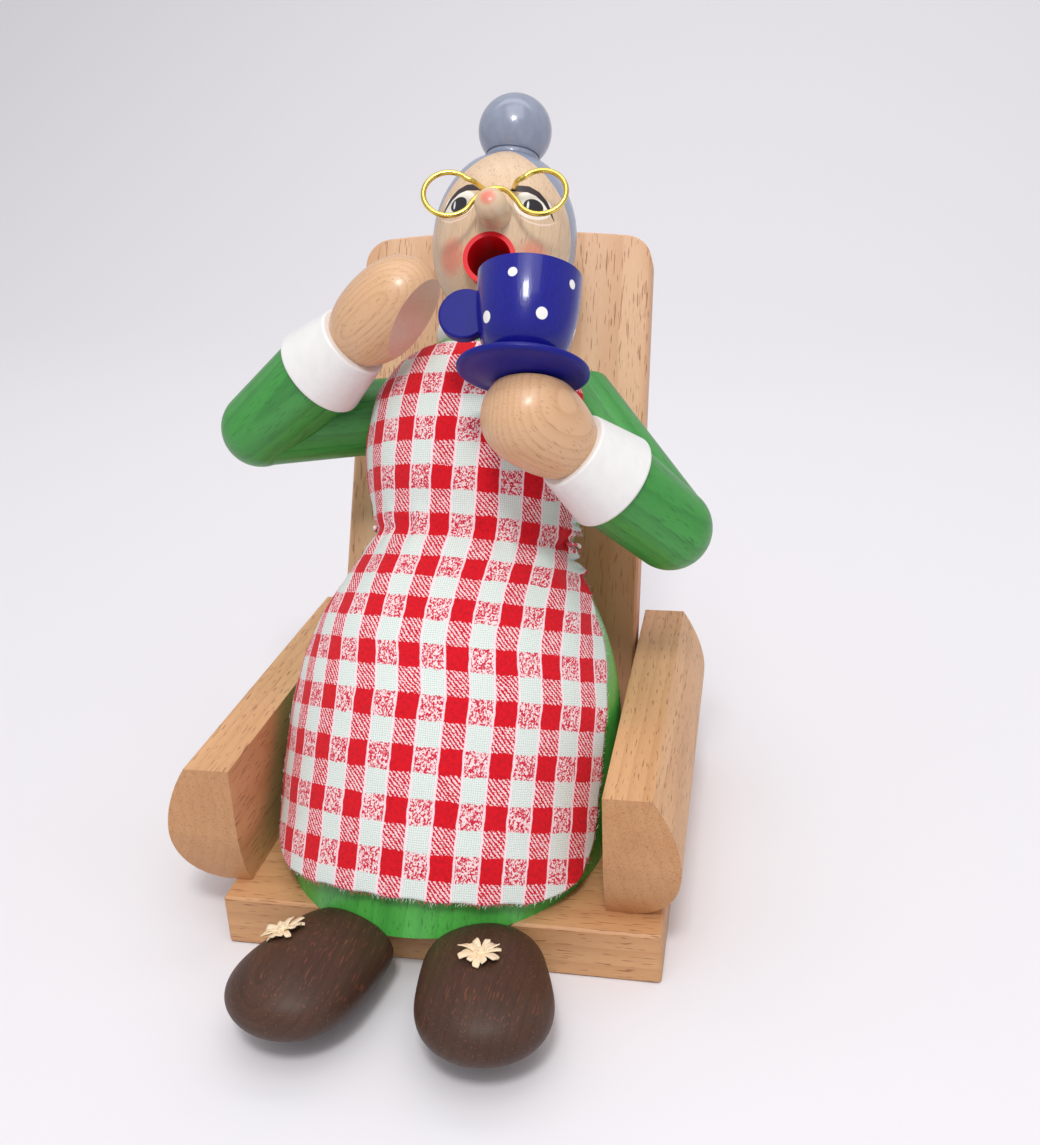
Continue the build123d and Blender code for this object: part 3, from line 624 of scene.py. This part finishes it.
# spectacles: two open wire loops whose ends meet behind the nose
def loop(sx):
    cx, cz, rx, rz = sx * 9.5, 131.0, 5.2, 4.7
    pts = [(sx * 3.3, -15.2, 134.5), (sx * 3.6, -17.4, 134.3), (sx * 4.5, -20.0, 134.0)]
    a0, a1 = math.radians(140), math.radians(-146)
    for i in range(41):
        a = a0 + (a1 - a0) * i / 40
        pts.append((cx + sx * rx * math.cos(a), -21.3 - 0.36 * math.cos(a) + 0.35 * math.sin(a), cz + rz * math.sin(a)))
    pts += [(sx * 4.2, -20.9, 129.9), (sx * 3.3, -20.5, 131.3)]
    return pts


L, Rr = loop(-1), loop(1)
path = L + [(-1.7, -19.9, 132.3), (0.0, -19.6, 132.6), (1.7, -19.9, 132.3)] + Rr[::-1]
path = catmull(path[::2], 6)
specs = tube("spectacle_wire", [tuple(p) for p in path], 0.55, MATS["brass"], UPPER, SPECS)
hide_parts("glasses")


# wood-curl flowers on the shoes
def flower(name, node, sgn):
    verts, faces = [], []
    n = 14
    for i in range(n):
        a = 2 * math.pi * (i + rng.uniform(-0.22, 0.22)) / n
        Lp = rng.uniform(3.6, 4.55) * (1.02 if i % 2 else 0.93)
        w0, w1 = rng.uniform(0.32, 0.42), rng.uniform(0.5, 0.72)
        lift = rng.uniform(0.1, 0.9)
        tw = rng.uniform(-0.35, 0.35)
        ca, sa = math.cos(a), math.sin(a)
        base = len(verts)
        rows = 9
        for q in range(rows):
            t = q / (rows - 1)
            rad = 0.35 + (Lp - 0.35) * t
            z = 0.25 + lift * math.sin(t * 2.6) + 1.1 * max(0, t - 0.62) * (1 if i % 3 else -0.4)
            w = w0 + (w1 - w0) * math.sin(min(1, t * 1.25) * math.pi / 2)
            if t > 0.9:
                w *= 0.75
            for e in (-1, 0, 1):
                off = e * w
                zz = z + 0.28 * abs(e) * math.sin(t * 3) + tw * e * t
                verts.append((ca * rad - sa * off, sa * rad + ca * off, zz))
        for q in range(rows - 1):
            for e in range(2):
                k = base + q * 3 + e
                faces.append((k, k + 1, k + 4, k + 3))
    # small curl at the heart
    base = len(verts)
    for q in range(22):
        a = q / 21 * 4.2 * math.pi
        r = 0.25 + 0.95 * q / 21
        verts += [(r * math.cos(a), r * math.sin(a), 0.35), (r * math.cos(a), r * math.sin(a), 1.35 - 0.3 * q / 21)]
    for q in range(21):
        k = base + 2 * q
        faces.append((k, k + 2, k + 3, k + 1))
    at, up = ((-24.9, -55.4, 15.12), (-0.317, 0.238, 0.918)) if sgn < 0 else ((13.0, -58.1, 16.43), (-0.036, 0.157, 0.987))
    M = T_(*at) @ Vector(up).to_track_quat("Z", "Y").to_matrix().to_4x4()
    ob = add(name, verts, faces, MATS["curl"], LOWER, M)
    so = ob.modifiers.new("thick", "SOLIDIFY")
    so.thickness, so.offset = 0.00022, 0
    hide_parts(node)
    return ob


flower("wood_curl_flower_left", "shoe_flower_left", -1)
flower("wood_curl_flower_right", "shoe_flower_right", 1)

# tie: seen only where the cloth doesn't cover it
tie_pts = []
for i in range(64):
    f = math.radians(70 + 220 * i / 63)
    tie_pts.append((22.3 * math.sin(f), -22.3 * math.cos(f) if True else 0, 62.9 + 0.25 * math.sin(f * 9)))
tie = tube("apron_tie_string", tie_pts, 0.42, MATS["thread"], UPPER, FIG, 10)
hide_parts("apron_tie")

# ------------------------------------------------------------------ stage, light, camera
bpy.ops.mesh.primitive_grid_add(x_subdivisions=2, y_subdivisions=60, size=1.0)
floor = bpy.context.object
floor.name = "floor"
me = floor.data
for v in me.vertices:
    x, y = v.co.x * 6.0, v.co.y * 5.0
    z = 0.0
    if y > 0.55:
        d = y - 0.55
        z = 0.5 * d * d
    v.co = (x, y, z)
me.shade_smooth()
g = G("paper_backdrop")
fl = g.noise(g.n("ShaderNodeTexCoord", out="Object"), 1.5, 2.0)
floor.data.materials.append(g.finish(g.mix(fl, srgb(234, 232, 234), srgb(230, 228, 231)), 0.7, Specular_IOR_Level=0.2))

world = bpy.data.worlds.new("studio")
bpy.context.scene.world = world
world.use_nodes = True
bg = world.node_tree.nodes["Background"]
bg.inputs[0].default_value = (0.96, 0.95, 1.0, 1)
bg.inputs[1].default_value = 0.58


def area_light(name, loc, target, size, power, col=(1, 1, 1)):
    li = bpy.data.lights.new(name, "AREA")
    li.energy, li.size, li.color = power, size, col
    ob = bpy.data.objects.new(name, li)
    bpy.context.scene.collection.objects.link(ob)
    ob.location = loc
    ob.rotation_euler = (Vector(target) - Vector(loc)).to_track_quat("-Z", "Y").to_euler()
    return ob


CAM = Vector((57.6, -225.15, 159.06)) * MM
yaw, pitch, roll, fpx = math.radians(-11.718), math.radians(22.084), math.radians(-2.417), 1210.3
d = Vector((math.sin(yaw) * math.cos(pitch), math.cos(yaw) * math.cos(pitch), -math.sin(pitch)))
r0 = Vector((math.cos(yaw), -math.sin(yaw), 0))
u0 = r0.cross(d)
rr = math.cos(roll) * r0 + math.sin(roll) * u0
uu = -math.sin(roll) * r0 + math.cos(roll) * u0
cam = bpy.data.cameras.new("camera")
cam.sensor_fit = "VERTICAL"
cam.sensor_height = 24.0
cam.lens = fpx / 1145 * 24.0
cam.clip_start, cam.clip_end = 0.01, 50
co = bpy.data.objects.new("camera", cam)
bpy.context.scene.collection.objects.link(co)
m = Matrix((rr, uu, -d)).transposed().to_4x4()
m.translation = CAM
co.matrix_world = m
bpy.context.scene.camera = co

flash = area_light("flash", tuple(CAM + uu * 0.30 - d * 0.28 - rr * 0.04), (0, 0.01, 0.05), 0.10, 1.45)
soft = area_light("softbox", (0.15, -0.5, 1.35), (0, 0.05, 0.03), 1.1, 5.9)
back_light = area_light("backdrop_light", (0, 0.35, 1.0), (0, 1.5, 0.25), 0.9, 4.3)
bpy.context.scene.view_settings.view_transform = "Standard"
